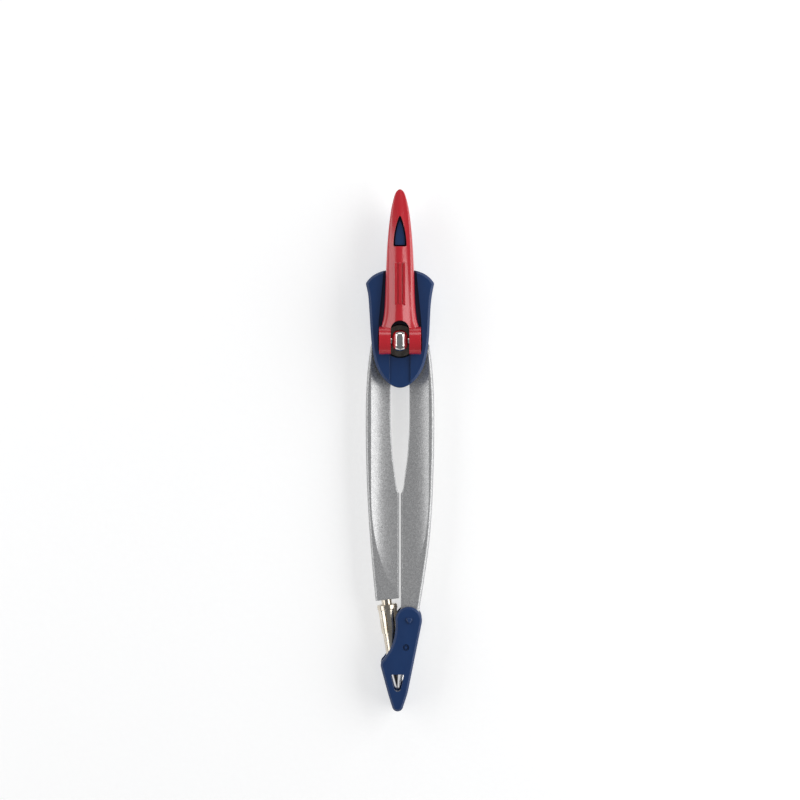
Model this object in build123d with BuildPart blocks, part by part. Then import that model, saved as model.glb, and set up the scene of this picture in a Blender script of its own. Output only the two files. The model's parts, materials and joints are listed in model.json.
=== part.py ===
from build123d import *
import os
from math import cos, exp, radians, sin, sqrt, tan

# A school drawing compass, closed, lying on its back. Millimetres.
# +Y points from the drawing points to the lever's tip, +X to the needle leg's side, +Z out of the front.
# The origin is the middle of the footprint, on the back plane.

# Main pivot and the lever's cross pin
pivot_y = 32.8
lever_pin_z = 14.7

# Levels of the layers, counted from the back plane
rear_plate_top = 2.4
leg_back = 2.7
leg_front = 7.9
front_plate_back = 8.2
channel_floor = 10.2
wing_top = 11.9
guard_back_cheek_top = 2.2
guard_front_cheek_back = 8.4
guard_front = 10.2
mid_z = (leg_back + leg_front) / 2

# Pivot stack
shank_r = 2.0
running_gap = 0.05
hub_r = 7.8
hub_relief_r = 8.1
hub_neck_r = 9.0
friction_washer_r = 7.2
middle_washer_z = 5.25
middle_washer_t = 0.2
wall_clear_r = 9.9

# Head shield
shield_top = 54.0
shield_corner = (10.26, 49.95)
shield_bottom = 18.8
shield_corner_r = 0.9
back_rim = 0.6
front_rim = 0.7

# Lever
cam_r = 3.4
ear_r = 4.1
ear_outer_x = 6.2
fork_half = 2.75
fork_arch_y = 38.7
lever_step_y = 54.4
pin_r = 1.0

# Points
lead_tilt = 7.0
lead_top = (-4.05, -45.6)
needle_tilt = 12.0
needle_mid = (0.5, -69.0)
guard_pivot = (2.6, -51.0)
guard_cavity_r = 22.0
guard_pin_r = 1.2

# Longer than the compass is wide or thick, for tools that cut right through
beyond = 40.0

os.makedirs("parts", exist_ok=True)


def write(part, name):
    """Label one finished piece and write it as its own STEP file."""
    part.label = name
    export_step(part, f"parts/{name}.step")


def flip(points):
    """The points mirrored in the centre line, in the opposite order."""
    return [(-x, y) for x, y in reversed(points)]


def turned(plane, profile):
    """A turned piece about the plane's y direction, from (radius, height) points."""
    with BuildPart() as body:
        with BuildSketch(plane):
            with BuildLine():
                Polyline(*profile, close=True)
            make_face()
        revolve(axis=Axis(plane.origin, plane.y_dir))
    return body.part


def disc(centre, radius, bottom, top, hole=0.0):
    """A flat ring or disc lying in the XY plane."""
    with BuildPart() as body:
        with BuildSketch(Plane.XY.offset(bottom)):
            with Locations(centre):
                Circle(radius)
                if hole:
                    Circle(hole, mode=Mode.SUBTRACT)
        extrude(amount=top - bottom)
    return body.part


def side_cutter(*outlines):
    """A tool that cuts right across the compass, from outlines of (y, z) points in the side view."""
    with BuildPart() as body:
        with BuildSketch(Plane.YZ):
            for points in outlines:
                with BuildLine():
                    Polyline(*points, close=True)
                make_face()
        extrude(amount=beyond / 2, both=True)
    return body.part


# ---------------------------------------------------------------- head outline
def shield_block(bottom, top):
    """A slab of the head: a shield with two shoulders, narrowing to a rounded lower end."""
    flank = [shield_corner, (9.4, 45.3), (8.9, 37.5), (7.9, 28.2), (5.1, 21.8), (0, shield_bottom)]
    shoulder = [(3.9, shield_top), (7.35, 52.8), shield_corner]
    with BuildPart() as body:
        with BuildSketch(Plane.XY.offset(bottom)):
            with BuildLine():
                Spline(*flank, *flip(flank)[1:], tangents=[(-0.25, -1), (-0.25, 1)])
                Spline(*flip(shoulder), *shoulder)
            make_face()
        extrude(amount=top - bottom)
        fillet(body.edges().filter_by(Axis.Z), shield_corner_r)
    return body.part


# Fasteners that both shells share
screw_places = [(-7.5, 47.0), (7.5, 47.0)]
screw_head_r = 1.6
screw_r = 0.8
screw_seat_z = 1.7
screw_reach = 2.8
dowel_places = [(-3.0, 47.5), (3.0, 47.5)]
dowel_r = 0.75
dowel_depth_rear = 1.7
dowel_depth_front = 1.2
hole_spare = 0.1
nut_pocket_depth = 1.5
nut_pocket_r = 4.5

# ---------------------------------------------------------------- rear shell with the tail handle
wall_bottom_y = 40.5
tail_back = 2.6
tail_top = 8.8
tail_end = 73.1
tail_ramp_start = 56.0
tail_ramp_end = 80.0
tail_ramp_rise = 2.8
front_shell_gap = 0.3
pad_top = 12.4
pad_half = 1.75
pad_foot_y = 61.15
pad_tip_y = 69.7
pad_draft = 5
pad_slope_start = 60.0
pad_slope_end = 72.0
pad_slope_drop = 1.6

with BuildPart() as rear_head_shell:
    add(shield_block(0, rear_plate_top))
    chamfer(rear_head_shell.faces().sort_by(Axis.Z)[0].edges(), back_rim)
    # wall above the legs' room
    add(shield_block(rear_plate_top, front_plate_back))
    with BuildSketch(Plane.XY.offset(rear_plate_top)):
        with Locations((0, pivot_y)):
            Circle(wall_clear_r)
        with Locations((0, wall_bottom_y)):
            Rectangle(beyond, beyond, align=(Align.CENTER, Align.MAX))
    extrude(amount=front_plate_back - rear_plate_top, mode=Mode.SUBTRACT)
    # tail handle, cut back where the front shell lies over its root, with a back that rises to the end
    with BuildSketch(Plane.XY.offset(tail_back)):
        with BuildLine():
            Polyline((-3.6, 55), (-3.7, 52), (3.7, 52), (3.6, 55))
            Spline((3.6, 55), (3.25, 60), (2.75, 66), (1.9, 71))
            ThreePointArc((1.9, 71), (0, tail_end), (-1.9, 71))
            Spline((-1.9, 71), (-2.75, 66), (-3.25, 60), (-3.6, 55))
        make_face()
    extrude(amount=tail_top - tail_back)
    with BuildSketch(Plane.XY.offset(front_plate_back)):
        with Locations((0, lever_step_y + front_shell_gap)):
            Rectangle(beyond, 10, align=(Align.CENTER, Align.MAX))
    extrude(amount=tail_top - front_plate_back, mode=Mode.SUBTRACT)
    ramp = [
        (tail_ramp_start, 0),
        (tail_ramp_start, tail_back),
        (tail_ramp_end, tail_back + tail_ramp_rise),
        (tail_ramp_end, 0),
    ]
    add(side_cutter(ramp), mode=Mode.SUBTRACT)
    # pad that fills the lever's window
    with BuildSketch(Plane.XY.offset(tail_top)):
        with BuildLine():
            Line((-pad_half, pad_foot_y), (pad_half, pad_foot_y))
            ThreePointArc((pad_half, pad_foot_y), (1.22, 66.2), (0, pad_tip_y))
            ThreePointArc((0, pad_tip_y), (-1.22, 66.2), (-pad_half, pad_foot_y))
        make_face()
    extrude(amount=pad_top - tail_top, taper=pad_draft)
    pad_slope = [
        (pad_slope_start, pad_top),
        (pad_slope_start, pad_top + 1),
        (pad_slope_end, pad_top + 1),
        (pad_slope_end, pad_top - pad_slope_drop),
    ]
    add(side_cutter(pad_slope), mode=Mode.SUBTRACT)
    # pocket for the nut and spring washer, the bolt's hole, the screws and the dowels
    with Locations((0, pivot_y)):
        Cylinder(nut_pocket_r, 2 * nut_pocket_depth, mode=Mode.SUBTRACT)
        Cylinder(shank_r, beyond, mode=Mode.SUBTRACT)
    with Locations(*screw_places):
        Cylinder(screw_head_r, 2 * screw_seat_z, mode=Mode.SUBTRACT)
        Cylinder(screw_r, beyond, mode=Mode.SUBTRACT)
    with Locations(*[(x, y, front_plate_back) for x, y in dowel_places]):
        Cylinder(dowel_r, 2 * (dowel_depth_rear + hole_spare), mode=Mode.SUBTRACT)
write(rear_head_shell.part, "rear_head_shell")

# ---------------------------------------------------------------- front shell with the lever's channel
channel_end_y = 28.9
channel_corner_r = 1.4
washer_well_r = 5.2
strip_half = 3.15
strip_depth = 0.5
strip_top_y = 30.0

with BuildPart() as front_head_shell:
    add(shield_block(front_plate_back, wing_top))
    chamfer(front_head_shell.faces().sort_by(Axis.Z)[-1].edges(), front_rim)
    # the lever's channel, with soft corners at its lower end, and a well for the pressure washer
    with BuildSketch(Plane.XY.offset(channel_floor)) as channel:
        with BuildLine():
            Polyline((0, 60), (4.7, 60), (4.85, shield_top), (5.6, 46), (6.3, 39), (6.6, 33))
            Polyline((6.6, 33), (6.6, channel_end_y), (0, channel_end_y))
            mirror(about=Plane.YZ)
        make_face()
        fillet(channel.vertices().group_by(Axis.Y)[0], channel_corner_r)
    extrude(amount=wing_top, mode=Mode.SUBTRACT)
    add(disc((0, pivot_y), washer_well_r, channel_floor, beyond), mode=Mode.SUBTRACT)
    # the flat strip that runs down from the washer to the lower edge
    with BuildSketch(Plane.XY.offset(wing_top - strip_depth)):
        with Locations((0, strip_top_y)):
            Rectangle(2 * strip_half, strip_top_y, align=(Align.CENTER, Align.MAX))
    extrude(amount=wing_top, mode=Mode.SUBTRACT)
    # the bolt's hole, the screws and the dowels
    with Locations((0, pivot_y)):
        Cylinder(shank_r, beyond, mode=Mode.SUBTRACT)
    with Locations(*[(x, y, front_plate_back) for x, y in screw_places]):
        Cylinder(screw_r, 2 * (screw_reach + hole_spare), mode=Mode.SUBTRACT)
    with Locations(*[(x, y, front_plate_back) for x, y in dowel_places]):
        Cylinder(dowel_r, 2 * (dowel_depth_front + hole_spare), mode=Mode.SUBTRACT)
write(front_head_shell.part, "front_head_shell")

# ---------------------------------------------------------------- fasteners of the head
screw_back = 0.3
head_clearance = 0.05
cross_length = 2.2
cross_width = 0.4
cross_depth = 0.6

with BuildPart() as shell_screws:
    with BuildSketch(Plane.XY.offset(screw_back)):
        with Locations(*screw_places):
            Circle(screw_head_r - head_clearance)
    extrude(amount=screw_seat_z - screw_back)
    with BuildSketch(Plane.XY.offset(screw_seat_z)):
        with Locations(*screw_places):
            Circle(screw_r)
    extrude(amount=front_plate_back + screw_reach - screw_seat_z)
    with Locations(*[(x, y, screw_back) for x, y in screw_places]):
        Box(cross_length, cross_width, 2 * cross_depth, mode=Mode.SUBTRACT)
        Box(cross_width, cross_length, 2 * cross_depth, mode=Mode.SUBTRACT)
write(shell_screws.part, "shell_screws")

with BuildPart() as shell_dowels:
    with BuildSketch(Plane.XY.offset(front_plate_back - dowel_depth_rear)):
        with Locations(*dowel_places):
            Circle(dowel_r)
    extrude(amount=dowel_depth_rear + dowel_depth_front)
write(shell_dowels.part, "shell_dowels")

nut_back = 0.1
nut_front = 1.15
nut_half_flats = 3.5
small_chamfer = 0.25

with BuildPart() as clamp_nut:
    with BuildSketch(Plane.XY.offset(nut_back)):
        with Locations((0, pivot_y)):
            RegularPolygon(nut_half_flats, 6, major_radius=False)
            Circle(shank_r, mode=Mode.SUBTRACT)
    extrude(amount=nut_front - nut_back)
    chamfer(clamp_nut.faces().sort_by(Axis.Z)[0].outer_wire().edges(), small_chamfer)
write(clamp_nut.part, "clamp_nut")

# A shallow cone between the nut and the pocket's floor
spring_bore_r = 2.1
spring_foot_r = 2.6
spring_outer_r = 4.3
spring_thickness = 0.2
spring_plane = Plane(origin=(0, pivot_y, 0), x_dir=(1, 0, 0), z_dir=(0, -1, 0))
spring_profile = [
    (spring_bore_r, nut_front),
    (spring_foot_r, nut_front),
    (spring_outer_r, nut_pocket_depth - spring_thickness),
    (spring_outer_r, nut_pocket_depth),
    (spring_bore_r, nut_front + spring_thickness),
]
write(turned(spring_plane, spring_profile), "spring_washer")

# ---------------------------------------------------------------- washers of the pivot
pivot = (0, pivot_y)
middle_washer_top = middle_washer_z + middle_washer_t
write(disc(pivot, friction_washer_r, rear_plate_top, leg_back, shank_r), "rear_friction_washer")
write(disc(pivot, friction_washer_r, middle_washer_z, middle_washer_top, shank_r), "middle_friction_washer")
write(disc(pivot, friction_washer_r, leg_front, front_plate_back, shank_r), "front_friction_washer")

pressure_washer_r = 4.95
pressure_washer_top = channel_floor + 0.8

with BuildPart() as pressure_washer:
    add(disc(pivot, pressure_washer_r, channel_floor, pressure_washer_top, shank_r))
    chamfer(pressure_washer.faces().sort_by(Axis.Z)[-1].outer_wire().edges(), small_chamfer)
write(pressure_washer.part, "pressure_washer")

# ---------------------------------------------------------------- clamp bolt with its domed eye
eye_bottom = pressure_washer_top + running_gap
eye_top = 17.7
eye_half_x = 2.4
eye_half_y = 3.2
eye_corner_r = 2.35
eye_dome_r = 2.2

with BuildPart() as clamp_bolt:
    add(disc(pivot, shank_r, nut_back, eye_bottom))
    with BuildSketch(Plane.XY.offset(eye_bottom)):
        with Locations(pivot):
            RectangleRounded(2 * eye_half_x, 2 * eye_half_y, eye_corner_r)
    extrude(amount=eye_top - eye_bottom)
    fillet(clamp_bolt.faces().sort_by(Axis.Z)[-1].edges(), eye_dome_r)
    with Locations((0, pivot_y, lever_pin_z)):
        Cylinder(pin_r + running_gap, beyond, rotation=(0, 90, 0), mode=Mode.SUBTRACT)
write(clamp_bolt.part, "clamp_bolt")


# ---------------------------------------------------------------- lever
lever_back = 9.1
lever_tip_y = 78.3
lever_straight_half = 4.35
taper_start_y = 44.0
taper_power = 0.44
ear_flare = 2.0
ear_flare_length = 3.4
crown_start = (36.0, 17.45)
crown_slope = 0.105
crown_curve = 0.00165
head_step_z = 10.6
washer_step_z = 11.4
cam_flat_turns = (0, -15, -30)
window_corner_r = 0.4


def lever_half(y):
    """Half width of the lever: an ogive towards the tip, with a flare into the ears."""
    along = (y - taper_start_y) / (lever_tip_y - taper_start_y)
    taper = max(0.0, 1 - along**2) ** taper_power
    return lever_straight_half * taper + ear_flare * exp((lever_stations[0] - y) / ear_flare_length)


def lever_crown(y):
    """Height of the lever's front on its centre line."""
    along = y - crown_start[0]
    return crown_start[1] - crown_slope * along - crown_curve * along**2


def crown_section(y):
    """One cross-section of the lever: flat back, upright sides and a crowned front."""
    half = lever_half(y)
    top = lever_crown(y)
    side = 0.45 * (lever_back + 0.3) + 0.55 * top
    shoulder = side + 0.7 * (top - side)
    with BuildSketch(Plane(origin=(0, y, 0), x_dir=(-1, 0, 0), z_dir=(0, 1, 0))) as section:
        with BuildLine():
            Polyline((-half, side), (-half, lever_back), (half, lever_back), (half, side))
            crown = [(half, side), (0.62 * half, shoulder), (0, top), (-0.62 * half, shoulder), (-half, side)]
            Spline(*crown, tangents=[(-0.15, 1), (-0.15, -1)])
        make_face()
    return section.sketch


lever_stations = [35.6, 37.4, 39.6, 42.4, 46.0, 50.5, 55.5, 60.5, 65.5, 70.0, 73.5, 76.0, 77.6, 78.25]

# Three low ribs along the lever's crown, for grip, that fade into it at both ends
rib_start = 42.5
rib_end = 57.0
rib_fade = 1.2
rib_height = 0.3
rib_root = 1.0
rib_width = 0.6
rib_pitch = 1.25
rib_side_drop = 0.17


def grip_rib(x, drop):
    """One rib, as a plate standing lengthwise in the lever, its top following the crown."""
    middle = (rib_start + rib_end) / 2
    tops = [rib_start + rib_fade, middle, rib_end - rib_fade]
    points = [(y, lever_crown(y) + rib_height - drop) for y in tops]
    foot = [(y, lever_crown(y) - rib_root) for y in (rib_end, rib_start)]
    with BuildPart() as rib:
        with BuildSketch(Plane.YZ.offset(x)):
            with BuildLine():
                Spline(*points)
                Polyline(points[-1], *foot, points[0])
            make_face()
        extrude(amount=rib_width / 2, both=True)
    return rib.part


with BuildPart() as lock_lever:
    loft([crown_section(y) for y in lever_stations])
    add(grip_rib(0, 0))
    add(grip_rib(rib_pitch, rib_side_drop))
    add(grip_rib(-rib_pitch, rib_side_drop))
    # the back steps up over the head, and again over the pressure washer
    steps = [
        (30, 8),
        (lever_step_y, 8),
        (lever_step_y, head_step_z),
        (39.5, head_step_z),
        (38.5, washer_step_z),
        (30, washer_step_z),
    ]
    add(side_cutter(steps), mode=Mode.SUBTRACT)
    # ears that work as cams on the pressure washer
    with BuildSketch(Plane(origin=(-ear_outer_x, pivot_y, lever_pin_z), x_dir=(0, 1, 0), z_dir=(1, 0, 0))):
        Circle(ear_r)
        for turn in cam_flat_turns:
            with Locations(Location((0, 0), turn)):
                with Locations((0, -cam_r)):
                    Rectangle(beyond, beyond, align=(Align.CENTER, Align.MAX), mode=Mode.SUBTRACT)
    extrude(amount=2 * ear_outer_x)
    # fork notch with its arched end
    with BuildSketch():
        with Locations((0, fork_arch_y - fork_half)):
            Circle(fork_half)
            Rectangle(2 * fork_half, beyond, align=(Align.CENTER, Align.MAX))
    extrude(amount=beyond, mode=Mode.SUBTRACT)
    # see-through window
    with BuildSketch() as window:
        with BuildLine():
            Line((-1.95, 60.9), (1.95, 60.9))
            ThreePointArc((1.95, 60.9), (1.4, 66.2), (0.25, 70.0))
            ThreePointArc((0.25, 70.0), (0, 70.1), (-0.25, 70.0))
            ThreePointArc((-0.25, 70.0), (-1.4, 66.2), (-1.95, 60.9))
        make_face()
        fillet(window.vertices().group_by(Axis.Y)[0], window_corner_r)
    extrude(amount=beyond, mode=Mode.SUBTRACT)
    with Locations((0, pivot_y, lever_pin_z)):
        Cylinder(pin_r, beyond, rotation=(0, 90, 0), mode=Mode.SUBTRACT)
write(lock_lever.part, "lock_lever")

pin_inset = 0.2

with BuildPart() as lever_pin:
    with BuildSketch(Plane.YZ):
        with Locations((pivot_y, lever_pin_z)):
            Circle(pin_r)
    extrude(amount=ear_outer_x - pin_inset, both=True)
    chamfer(lever_pin.edges(), pin_inset)
write(lever_pin.part, "lever_pin")

# ---------------------------------------------------------------- legs
leg_half_gap = 0.25
leg_front_edge_r = 0.9
leg_back_edge_r = 0.6
leg_inner_edge_r = 0.3
needle_leg_end = -65.1
scoop_r = 20.0
scoop_half = 8.7
scoop_axis_z = leg_front + sqrt(scoop_r**2 - scoop_half**2)
scoop_start_y = 45.0
scoop_lift_y = -21.0
scoop_end_y = -60.0
scoop_lift = 5.8
scoop_bend_r = 160
gap_groove = 1.2
gap_groove_lift = 0.2

# The leaf-shaped scoop is a large tube that leaves the legs' front at a shallow angle near their lower end.
# A small square on its lowest line bevels the legs' edges along the gap.
with BuildPart() as scoop:
    with BuildLine() as scoop_path:
        FilletPolyline(
            (0, scoop_start_y, scoop_axis_z),
            (0, scoop_lift_y, scoop_axis_z),
            (0, scoop_end_y, scoop_axis_z + (scoop_lift_y - scoop_end_y) * tan(radians(scoop_lift))),
            radius=scoop_bend_r,
        )
    with BuildSketch(Plane(origin=(0, scoop_start_y, scoop_axis_z), x_dir=(1, 0, 0), z_dir=(0, -1, 0))):
        Circle(scoop_r)
        with Locations((0, gap_groove_lift - scoop_r)):
            Rectangle(gap_groove, gap_groove, rotation=45)
    sweep(path=scoop_path.wire())


def leg_outline(side):
    """Plan of one leg: outer edge from the shoulder down, lower end, then the inner edge. side is 1 or -1."""
    lead = [(8.8, 31.6), (9.75, 24.3), (10.35, 8), (9.95, -11), (9.05, -26.7), (8.3, -35.7), (7.2, -47)]
    needle = [(8.8, 31.6), (9.75, 24.3), (10.35, 8), (9.95, -11), (8.95, -26.7), (7.75, -36), (6.1, -46.4)]
    inner_top = (leg_half_gap, -13.2)
    lead_end = [(7.2, -47), (leg_half_gap, -47), inner_top]
    needle_end = [(6.1, -46.4), (3.3, needle_leg_end), (0.6, needle_leg_end), (leg_half_gap, -50), inner_top]
    inner = [inner_top, (1.35, -8.7), (2.15, -2.7), (2.6, 3.3), (2.85, 10)]
    top = [(2.85, 10), (2.85, 28), (5, pivot_y), (8.1, pivot_y), (8.8, 31.6)]
    with BuildSketch() as sketch:
        with BuildLine():
            Spline(*[(side * x, y) for x, y in (needle if side > 0 else lead)])
            Polyline(*[(side * x, y) for x, y in (needle_end if side > 0 else lead_end)])
            Spline(*[(side * x, y) for x, y in inner], tangents=[(side * 0.75, 1), (0, 1)])
            Polyline(*[(side * x, y) for x, y in top])
        make_face()
    return sketch.sketch


def leg_body(side, hub_bottom, hub_top):
    """Leg with its hub. The hub is half as thick as the leg, so that the other leg's hub lies on it."""
    outline = leg_outline(side)
    with BuildPart() as leg:
        with BuildSketch(Plane.XY.offset(leg_back)):
            add(outline)
            with Locations(pivot):
                Circle(hub_relief_r, mode=Mode.SUBTRACT)
        extrude(amount=leg_front - leg_back)
        outer = leg.edges().filter_by(lambda e: side * e.center().X > 4.5).filter_by(lambda e: e.length > 15)
        fillet(outer.group_by(Axis.Z)[-1], leg_front_edge_r)
        fillet(outer.group_by(Axis.Z)[0], leg_back_edge_r)
        add(scoop.part, mode=Mode.SUBTRACT)
        with BuildSketch(Plane.XY.offset(hub_bottom)):
            add(outline)
            with Locations(pivot):
                Circle(hub_neck_r, mode=Mode.INTERSECT)
                Circle(hub_r)
                Circle(shank_r + running_gap, mode=Mode.SUBTRACT)
        extrude(amount=hub_top - hub_bottom)
        # inner edges of the opening between the legs
        front = leg.edges().filter_by(lambda e: 0.5 < side * e.center().X < 3.2 and e.center().Z > mid_z)
        fillet(front.filter_by(lambda e: e.center().Y > -10 and e.length > 12), leg_inner_edge_r)
    return leg.part


lead_hub = (leg_back + running_gap, middle_washer_z - running_gap)
needle_hub = (middle_washer_top + running_gap, leg_front - running_gap)

# Plane of the lead holder: x across it, y back along it towards the leg, normal to the front
lead_plane = Plane(
    origin=(*lead_top, mid_z),
    x_dir=(cos(radians(lead_tilt)), sin(radians(lead_tilt)), 0),
    z_dir=(0, 0, 1),
)
needle_plane = Plane(
    origin=(*needle_mid, mid_z),
    x_dir=(cos(radians(needle_tilt)), -sin(radians(needle_tilt)), 0),
    z_dir=(0, 0, 1),
)
stem_r = 1.55
stem_bore_r = 1.05
stem_depth = 7.0
stem_end = -9.0
lead_leg_cut = 0.65
lead_r = 1.0
needle_r = 0.5
needle_depth = 10.4
ferrule_r = 0.8
ferrule_depth = 5.0
stem_screw_at = (-4.5, -42.0)
stem_screw_r = 1.0
stem_screw_back = 2.9
needle_screw_at = (2.2, -60.5)
needle_screw_r = 0.7
needle_screw_back = 3.75

with BuildPart() as lead_leg:
    add(leg_body(-1, *lead_hub))
    # lower end cut square to the lead
    with BuildSketch(lead_plane):
        with Locations((0, lead_leg_cut)):
            Rectangle(20, 20, align=(Align.CENTER, Align.MAX))
    extrude(amount=beyond / 2, both=True, mode=Mode.SUBTRACT)
    # the stem's blind hole and the set screw's
    stem_hole = [(0, -3), (stem_r, -3), (stem_r, stem_depth), (0, stem_depth)]
    add(turned(lead_plane, stem_hole), mode=Mode.SUBTRACT)
    add(disc(stem_screw_at, stem_screw_r, 0, mid_z - stem_r), mode=Mode.SUBTRACT)
write(lead_leg.part, "lead_leg")

thin_start_y = -54.0
thin_end_y = -70.0
thin_front = 5.8
thin_back = 4.8

with BuildPart() as needle_leg:
    add(leg_body(1, *needle_hub))
    # the lower end gets thinner from front and back
    front_wedge = [(thin_start_y, leg_front), (thin_start_y, beyond), (thin_end_y, beyond)]
    back_wedge = [(thin_start_y, leg_back), (thin_start_y, 0), (thin_end_y, 0)]
    wedges = side_cutter([*front_wedge, (thin_end_y, thin_front)], [*back_wedge, (thin_end_y, thin_back)])
    add(wedges, mode=Mode.SUBTRACT)
    # holes for the guard's pin, the ferrule and needle, and the set screw
    add(disc(guard_pivot, guard_pin_r + running_gap, 0, beyond), mode=Mode.SUBTRACT)
    needle_hole = [
        (0, -5),
        (ferrule_r, -5),
        (ferrule_r, ferrule_depth),
        (needle_r, ferrule_depth),
        (needle_r, needle_depth + hole_spare),
        (0, needle_depth + hole_spare),
    ]
    add(turned(needle_plane, needle_hole), mode=Mode.SUBTRACT)
    add(disc(needle_screw_at, needle_screw_r, 0, mid_z - needle_r), mode=Mode.SUBTRACT)
write(needle_leg.part, "needle_leg")

write(disc(stem_screw_at, stem_screw_r, stem_screw_back, mid_z - stem_r), "stem_set_screw")
write(disc(needle_screw_at, needle_screw_r, needle_screw_back, mid_z - needle_r), "needle_set_screw")

# ---------------------------------------------------------------- lead holder
stem_profile = [(stem_bore_r, stem_end), (stem_r, stem_end), (stem_r, stem_depth), (stem_bore_r, stem_depth)]
write(turned(lead_plane, stem_profile), "lead_holder_stem")

sleeve_top = -0.9
sleeve_end = -9.5
sleeve_bore_r = 1.65
sleeve_mouth_r = 2.45
sleeve_body_r = 2.85
collar_r = 3.05
collar_end = -2.5
collar_bevel = 0.2
slit_at = (-0.7, -6.4)
slit_width = 0.35
slit_length = 6.0

with BuildPart() as lead_clamp_sleeve:
    sleeve_profile = [
        (sleeve_bore_r, sleeve_top),
        (collar_r - collar_bevel, sleeve_top),
        (collar_r, sleeve_top - collar_bevel),
        (collar_r, collar_end + collar_bevel),
        (sleeve_body_r, collar_end),
        (2.6, sleeve_end),
        (sleeve_mouth_r, sleeve_end),
        (sleeve_mouth_r, -8.9),
        (sleeve_bore_r, -8.9),
    ]
    add(turned(lead_plane, sleeve_profile))
    # slit along the split body
    with BuildSketch(lead_plane):
        with Locations(slit_at):
            Rectangle(slit_width, slit_length)
    extrude(amount=beyond, mode=Mode.SUBTRACT)
write(lead_clamp_sleeve.part, "lead_clamp_sleeve")

collet_top = stem_end - running_gap
collet_root_r = 2.3
collet_profile = [
    (stem_bore_r, collet_top),
    (collet_root_r, collet_top),
    (collet_root_r, -9.9),
    (2.0, -16.0),
    (1.85, -17.2),
    (1.45, -21.6),
    (stem_bore_r, -21.6),
]
write(turned(lead_plane, collet_profile), "lead_collet")

lead_back_end = -6.0
lead_cone = -20.8
lead_point = -26.8
lead_profile = [(0, lead_point), (lead_r, lead_cone), (lead_r, lead_back_end), (0, lead_back_end)]
write(turned(lead_plane, lead_profile), "lead")

# ---------------------------------------------------------------- needle
needle_point = -3.4
needle_cone = -1.0
needle_profile = [(0, needle_point), (needle_r, needle_cone), (needle_r, needle_depth), (0, needle_depth)]
write(turned(needle_plane, needle_profile), "needle")

ferrule_nose = [(needle_r, 2.4), (0.65, 2.4), (ferrule_r, 2.9)]
ferrule_profile = [*ferrule_nose, (ferrule_r, ferrule_depth), (needle_r, ferrule_depth)]
write(turned(needle_plane, ferrule_profile), "needle_ferrule")

# ---------------------------------------------------------------- point guard
guard_rim = 0.6
bump_at = (2.75, -50.9)
bump_r = 1.5
bump_corner_r = 0.5
bump_height = 0.7
bump_bevel = 0.35
dimple_at = (1.77, -59.1, guard_front)
dimple_r = 1.0
dimple_depth = 0.5
boss_r = 0.4
pin_recess = 0.7
pin_end_gap = 0.05


def guard_sketch():
    """Plan of the guard: round pivot end, waist on the lead's side, lobe, and a rounded nose."""
    waist = [(-1.4, -51.0), (-1.65, -55.8), (-2.7, -59.1), (-4.3, -61.8), (-5.45, -63.2)]
    with BuildSketch() as sketch:
        with BuildLine():
            ThreePointArc((6.52, -51.8), (2.6, -47.0), (-1.4, -51.0))
            Spline(*waist, tangents=[(0.15, -1), (-1, -0.9)])
            ThreePointArc((-5.45, -63.2), (-5.78, -64.2), (-5.65, -65.3))
            Line((-5.65, -65.3), (-3.85, -72))
            Spline((-3.85, -72), (-3.1, -74.6), (-2.35, -76.9), tangents=[(0.26, -1), (0.35, -1)])
            ThreePointArc((-2.35, -76.9), (-0.72, -78.3), (0.92, -76.9))
            Spline((0.92, -76.9), (1.7, -74.6), (2.45, -72), tangents=[(0.35, 1), (0.2, 1)])
            Line((2.45, -72), (6.52, -51.8))
        make_face()
    return sketch.sketch


with BuildPart() as point_guard:
    with BuildSketch():
        add(guard_sketch())
    extrude(amount=guard_front)
    chamfer(point_guard.faces().sort_by(Axis.Z)[-1].edges(), guard_rim)
    chamfer(point_guard.faces().sort_by(Axis.Z)[0].edges(), guard_rim)
    # gap between the cheeks, closed by the nose and by a short wall on the right
    with BuildSketch(Plane.XY.offset(guard_back_cheek_top)):
        with Locations(guard_pivot):
            Circle(guard_cavity_r)
        with BuildLine():
            Polyline((1.65, -70), (12, -70), (12, -78), (0.2, -78), (0.8, -73.5), close=True)
        make_face(mode=Mode.SUBTRACT)
    extrude(amount=guard_front_cheek_back - guard_back_cheek_top, mode=Mode.SUBTRACT)
    # window through both cheeks
    with BuildSketch() as guard_window:
        with BuildLine():
            Polyline((-1.75, -71.4), (-2.85, -67.2), (1.3, -67.2), (0.3, -71.4))
            ThreePointArc((0.3, -71.4), (-0.75, -72.3), (-1.75, -71.4))
        make_face()
        fillet(guard_window.vertices().group_by(Axis.Y)[-1], 0.45)
    extrude(amount=beyond, both=True, mode=Mode.SUBTRACT)
    # pivot bump, and the dimple with its small boss
    with BuildSketch(Plane.XY.offset(guard_front)) as bump:
        with Locations(bump_at):
            RegularPolygon(bump_r, 3, rotation=-90)
        fillet(bump.vertices(), bump_corner_r)
    extrude(amount=bump_height)
    chamfer(point_guard.faces().sort_by(Axis.Z)[-1].edges(), bump_bevel)
    with Locations(dimple_at):
        Cylinder(dimple_r, 2 * dimple_depth, mode=Mode.SUBTRACT)
        Cylinder(boss_r, 2 * dimple_depth, align=(Align.CENTER, Align.CENTER, Align.MAX))
    # blind hole for the pivot pin
    with Locations((*guard_pivot, mid_z)):
        Cylinder(guard_pin_r, 2 * (mid_z - pin_recess), mode=Mode.SUBTRACT)
write(point_guard.part, "point_guard")

pin_back = pin_recess + pin_end_gap
write(disc(guard_pivot, guard_pin_r, pin_back, 2 * mid_z - pin_back), "guard_pivot_pin")
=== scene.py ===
"""Looks of a school drawing compass, closed and lying on its back on a pale floor. Metres."""

import json

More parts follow.
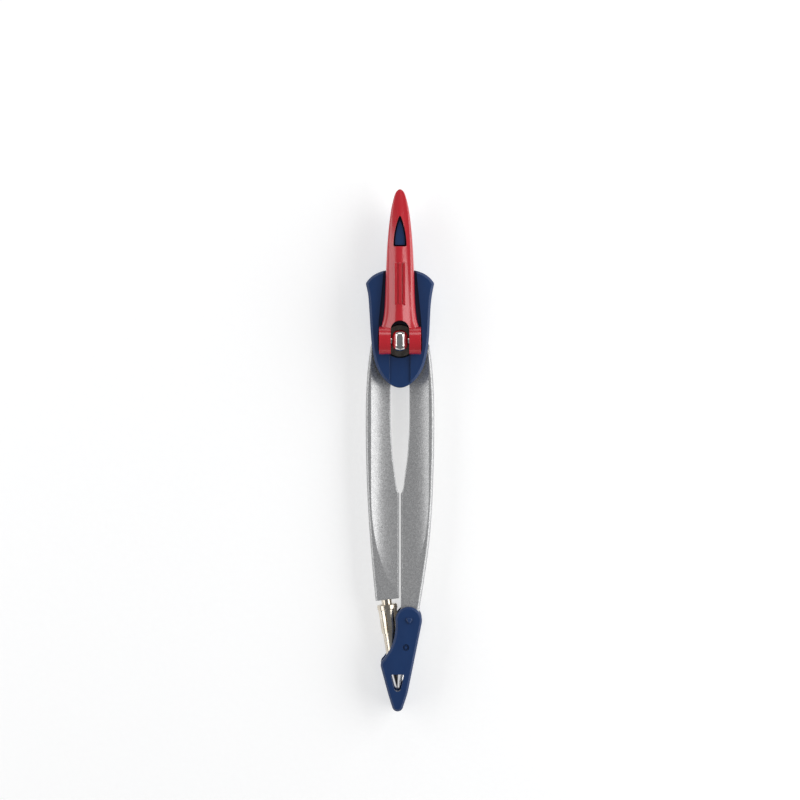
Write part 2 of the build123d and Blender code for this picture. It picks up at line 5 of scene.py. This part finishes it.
import bpy
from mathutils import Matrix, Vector

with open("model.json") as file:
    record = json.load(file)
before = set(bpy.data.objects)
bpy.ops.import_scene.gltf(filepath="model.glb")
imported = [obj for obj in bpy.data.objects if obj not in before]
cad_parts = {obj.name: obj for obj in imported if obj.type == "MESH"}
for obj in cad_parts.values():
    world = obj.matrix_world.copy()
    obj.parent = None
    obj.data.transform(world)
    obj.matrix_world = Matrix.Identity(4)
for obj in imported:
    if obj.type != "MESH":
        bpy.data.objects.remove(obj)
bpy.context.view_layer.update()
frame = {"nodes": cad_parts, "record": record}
nodes = frame["nodes"]
MM = 0.001

# The range that a noise value mostly spans
NOISE_LOW = 0.3
NOISE_HIGH = 0.7

# Sockets of the Mix node that carry colours
MIX_FIRST = 6
MIX_SECOND = 7
MIX_RESULT = 2

# Texture scales, per metre of a piece's own space
PLASTIC_FLOW = 160
PLASTIC_SCUFFS = 300
PLASTIC_PATCHES = 2400
PLASTIC_GRAIN = 5200
PAINT_CLOUDS = 900
PAINT_GLOSS = 1500
PAINT_PATCHES = 3000
PAINT_FLAKES = 5200
METAL_TARNISH = 350
METAL_MARKS = 1500
GRAPHITE_STREAKS = 5000
FLOOR_GRAIN = 900

# Radii that edges look rounded by
PLASTIC_EDGE = 0.12 * MM
PAINT_EDGE = 0.2 * MM
METAL_EDGE = 0.1 * MM

# Camera, straight above a place a little towards the lever's end
CAMERA_Y = 15.1 * MM
CAMERA_HEIGHT = 676 * MM
LENS_MM = 100
SENSOR_MM = 36

# Floor, just under the compass
FLOOR_SIZE = 3
FLOOR_Z = -0.02 * MM
FLOOR_GLOW = 0.55

# Softboxes: name, place, the two sides of the box, and power in watts
SOFTBOXES = (
    ("softbox_right", (0.44, 0.05, 0.29), (0.8, 0.40), 2.9),
    ("softbox_left", (-0.44, 0.05, 0.29), (0.8, 0.30), 1.4),
    ("softbox_top", (0.0, 0.60, 0.35), (0.5, 0.2), 0.6),
)
ROOM_COLOUR = (0.8, 0.82, 0.85, 1)
ROOM_STRENGTH = 0.22


# ------------------------------------------------------------------ node helpers
def new_material(name):
    """A fresh material: its tree and its Principled shader."""
    material = bpy.data.materials.new(name)
    material.use_nodes = True
    return material, material.node_tree, material.node_tree.nodes["Principled BSDF"]


def node(tree, kind, inputs=None, **settings):
    """A new node, with plain settings and input values."""
    made = tree.nodes.new(kind)
    for key, value in settings.items():
        setattr(made, key, value)
    for key, value in (inputs or {}).items():
        made.inputs[key].default_value = value
    return made


def object_space(tree, stretch=(1, 1, 1)):
    """The piece's own coordinates, which move with it, stretched for directional marks."""
    coords = node(tree, "ShaderNodeTexCoord")
    mapping = node(tree, "ShaderNodeMapping", {"Scale": stretch})
    tree.links.new(coords.outputs["Object"], mapping.inputs["Vector"])
    return mapping.outputs["Vector"]


def noise(tree, vector, scale, detail=3.0, roughness=0.55):
    """A noise value from 0 to 1."""
    made = node(tree, "ShaderNodeTexNoise", {"Scale": scale, "Detail": detail, "Roughness": roughness})
    tree.links.new(vector, made.inputs["Vector"])
    return made.outputs["Fac"]


def spread(tree, value, low, high):
    """Maps a noise value to a range."""
    limits = {"From Min": NOISE_LOW, "From Max": NOISE_HIGH, "To Min": low, "To Max": high}
    made = node(tree, "ShaderNodeMapRange", limits)
    tree.links.new(value, made.inputs["Value"])
    return made.outputs["Result"]


def ramp(tree, value, *stops):
    """Maps a value to colours, from (position, colour) stops."""
    made = node(tree, "ShaderNodeValToRGB")
    elements = made.color_ramp.elements
    while len(elements) < len(stops):
        elements.new(0.5)
    for element, (position, colour) in zip(elements, stops):
        element.position = position
        element.color = (*colour, 1)
    tree.links.new(value, made.inputs["Fac"])
    return made.outputs["Color"]


def two_tone(tree, value, deep, pale):
    """Maps a noise value to colours from deep to pale."""
    return ramp(tree, value, (NOISE_LOW, deep), (NOISE_HIGH, pale))


def mix_colour(tree, factor, first, second):
    """Mixes two colour outputs by a factor output."""
    made = node(tree, "ShaderNodeMix", data_type="RGBA", blend_type="MIX")
    tree.links.new(factor, made.inputs["Factor"])
    tree.links.new(first, made.inputs[MIX_FIRST])
    tree.links.new(second, made.inputs[MIX_SECOND])
    return made.outputs[MIX_RESULT]


def relief(tree, shader, height, depth, strength, edge=0.0):
    """Bump of the given depth in metres on the shader, over edges rounded by the given radius."""
    bump = node(tree, "ShaderNodeBump", {"Distance": depth, "Strength": strength})
    tree.links.new(height, bump.inputs["Height"])
    if edge:
        bevel = node(tree, "ShaderNodeBevel", {"Radius": edge}, samples=4)
        tree.links.new(bevel.outputs["Normal"], bump.inputs["Normal"])
    tree.links.new(bump.outputs["Normal"], shader.inputs["Normal"])


# ------------------------------------------------------------------ materials
def moulded_plastic(name, deep, pale, gloss, coat, grain_depth):
    """Moulded plastic: slight flow marks in the colour, fine grain, and handling scuffs in the gloss."""
    material, tree, shader = new_material(name)
    space = object_space(tree)
    flow = noise(tree, object_space(tree, (1, 0.35, 1)), PLASTIC_FLOW, 4)
    fine = noise(tree, space, PLASTIC_GRAIN, 2)
    colour = two_tone(tree, flow, deep, pale)
    darker = [channel * 0.9 for channel in pale]
    lighter = [min(1, channel * 1.06) for channel in pale]
    speck = ramp(tree, fine, (0.35, darker), (0.65, lighter))
    factor = spread(tree, noise(tree, space, PLASTIC_PATCHES, 2), 0.1, 0.4)
    tree.links.new(mix_colour(tree, factor, colour, speck), shader.inputs["Base Color"])
    scuffs = noise(tree, object_space(tree, (2, 1, 1)), PLASTIC_SCUFFS, 5, 0.6)
    tree.links.new(spread(tree, scuffs, gloss - 0.02, gloss + 0.05), shader.inputs["Roughness"])
    shader.inputs["Coat Weight"].default_value = coat
    shader.inputs["Coat Roughness"].default_value = 0.16
    shader.inputs["IOR"].default_value = 1.5
    relief(tree, shader, fine, grain_depth, 0.6, PLASTIC_EDGE)
    return material


def flake_paint(name):
    """Silver metallic paint: small flakes that differ in brightness and tilt, under a thin clear coat."""
    material, tree, shader = new_material(name)
    space = object_space(tree)
    flakes = node(tree, "ShaderNodeTexVoronoi", {"Scale": PAINT_FLAKES, "Randomness": 1.0})
    tree.links.new(space, flakes.inputs["Vector"])
    bright = node(tree, "ShaderNodeSeparateColor")
    tree.links.new(flakes.outputs["Color"], bright.inputs["Color"])
    fleck = ramp(
        tree,
        bright.outputs["Red"],
        (0.0, (0.31, 0.31, 0.313)),
        (0.55, (0.46, 0.46, 0.463)),
        (1.0, (0.70, 0.70, 0.70)),
    )
    cloud = two_tone(tree, noise(tree, space, PAINT_CLOUDS, 4), (0.43, 0.43, 0.433), (0.51, 0.51, 0.51))
    factor = spread(tree, noise(tree, space, PAINT_PATCHES, 2), 0.35, 0.7)
    tree.links.new(mix_colour(tree, factor, cloud, fleck), shader.inputs["Base Color"])
    shader.inputs["Metallic"].default_value = 0.45
    tree.links.new(spread(tree, noise(tree, space, PAINT_GLOSS, 4), 0.24, 0.33), shader.inputs["Roughness"])
    shader.inputs["Coat Weight"].default_value = 0.25
    shader.inputs["Coat Roughness"].default_value = 0.12
    relief(tree, shader, bright.outputs["Green"], 0.006 * MM, 0.5, PAINT_EDGE)
    return material


def turned_metal(name, deep, pale, gloss, mark_depth, marks=(1, 9, 1), edge=METAL_EDGE):
    """Bright metal with fine turning marks and a little tarnish."""
    material, tree, shader = new_material(name)
    lines = noise(tree, object_space(tree, marks), METAL_MARKS, 5, 0.65)
    tarnish = noise(tree, object_space(tree), METAL_TARNISH, 4)
    tree.links.new(two_tone(tree, tarnish, deep, pale), shader.inputs["Base Color"])
    tree.links.new(spread(tree, lines, gloss - 0.04, gloss + 0.08), shader.inputs["Roughness"])
    shader.inputs["Metallic"].default_value = 1.0
    relief(tree, shader, lines, mark_depth, 0.5, edge)
    return material


def streaked_graphite(name):
    """Graphite lead: dark grey with a soft sheen and streaks from sharpening."""
    material, tree, shader = new_material(name)
    streaks = noise(tree, object_space(tree, (1, 0.2, 1)), GRAPHITE_STREAKS, 4)
    grey = two_tone(tree, streaks, (0.02, 0.02, 0.022), (0.07, 0.07, 0.075))
    tree.links.new(grey, shader.inputs["Base Color"])
    tree.links.new(spread(tree, streaks, 0.3, 0.5), shader.inputs["Roughness"])
    shader.inputs["Metallic"].default_value = 0.35
    relief(tree, shader, streaks, 0.01 * MM, 0.6)
    return material


def pale_paper(name):
    """Matt paper with a slight grain, which glows so that the floor stays pale."""
    material, tree, shader = new_material(name)
    grain = noise(tree, object_space(tree), FLOOR_GRAIN, 3)
    colour = two_tone(tree, grain, (0.53, 0.53, 0.53), (0.57, 0.57, 0.57))
    tree.links.new(colour, shader.inputs["Base Color"])
    shader.inputs["Roughness"].default_value = 0.8
    shader.inputs["Emission Color"].default_value = (1, 1, 1, 1)
    shader.inputs["Emission Strength"].default_value = FLOOR_GLOW
    return material


navy = moulded_plastic("navy_plastic", (0.0060, 0.030, 0.112), (0.0085, 0.040, 0.142), 0.34, 0.2, 0.006 * MM)
red = moulded_plastic("red_plastic", (0.52, 0.010, 0.020), (0.58, 0.016, 0.028), 0.22, 0.8, 0.002 * MM)
paint = flake_paint("metallic_paint")
nickel = turned_metal(
    "nickel", (0.62, 0.55, 0.45), (0.80, 0.74, 0.64), 0.2, 0.0004 * MM, marks=(0.2, 4, 0.2), edge=0.0
)
chrome = turned_metal("chrome", (0.66, 0.64, 0.60), (0.86, 0.85, 0.82), 0.10, 0.001 * MM)
dark_steel = turned_metal("dark_steel", (0.10, 0.09, 0.08), (0.26, 0.24, 0.21), 0.27, 0.004 * MM)
steel = turned_metal("steel", (0.42, 0.42, 0.42), (0.66, 0.66, 0.66), 0.18, 0.002 * MM)
washer_plastic = moulded_plastic(
    "washer_plastic", (0.42, 0.42, 0.40), (0.52, 0.52, 0.50), 0.5, 0.0, 0.004 * MM
)
graphite = streaked_graphite("graphite")

finishes = {
    "navy_plastic": navy,
    "red_plastic": red,
    "metallic_paint": paint,
    "nickel": nickel,
    "chrome": chrome,
    "dark_steel": dark_steel,
    "washer_plastic": washer_plastic,
    "steel": steel,
    "graphite": graphite,
}
for entry in frame["record"]["subparts"]:
    mesh = nodes[entry["node"]].data
    mesh.materials.clear()
    mesh.materials.append(finishes[entry["material_slot"]])


# ------------------------------------------------------------------ stage, lights and camera
def stage_floor():
    """The pale floor that the compass lies on."""
    bpy.ops.mesh.primitive_plane_add(size=FLOOR_SIZE, location=(0, 0, FLOOR_Z))
    floor = bpy.context.object
    floor.name = "floor"
    floor.data.materials.append(pale_paper("floor_paper"))


def softbox(name, place, size, power):
    """A rectangular area light that faces the origin."""
    data = bpy.data.lights.new(name, "AREA")
    data.shape = "RECTANGLE"
    data.size, data.size_y = size
    data.energy = power
    light = bpy.data.objects.new(name, data)
    light.location = place
    light.rotation_mode = "QUATERNION"
    light.rotation_quaternion = (-Vector(place)).to_track_quat("-Z", "Y")
    bpy.context.scene.collection.objects.link(light)


def room():
    """Weak, slightly cool light, the same from all round."""
    world = bpy.data.worlds.new("room")
    world.use_nodes = True
    background = world.node_tree.nodes["Background"]
    background.inputs["Color"].default_value = ROOM_COLOUR
    background.inputs["Strength"].default_value = ROOM_STRENGTH
    bpy.context.scene.world = world


def camera():
    """Straight down on the front, with a long lens."""
    data = bpy.data.cameras.new("camera")
    data.lens = LENS_MM
    data.sensor_width = SENSOR_MM
    made = bpy.data.objects.new("camera", data)
    made.location = (0, CAMERA_Y, CAMERA_HEIGHT)
    bpy.context.scene.collection.objects.link(made)
    bpy.context.scene.camera = made


stage_floor()
for box in SOFTBOXES:
    softbox(*box)
room()
bpy.context.scene.view_settings.view_transform = "Standard"
camera()
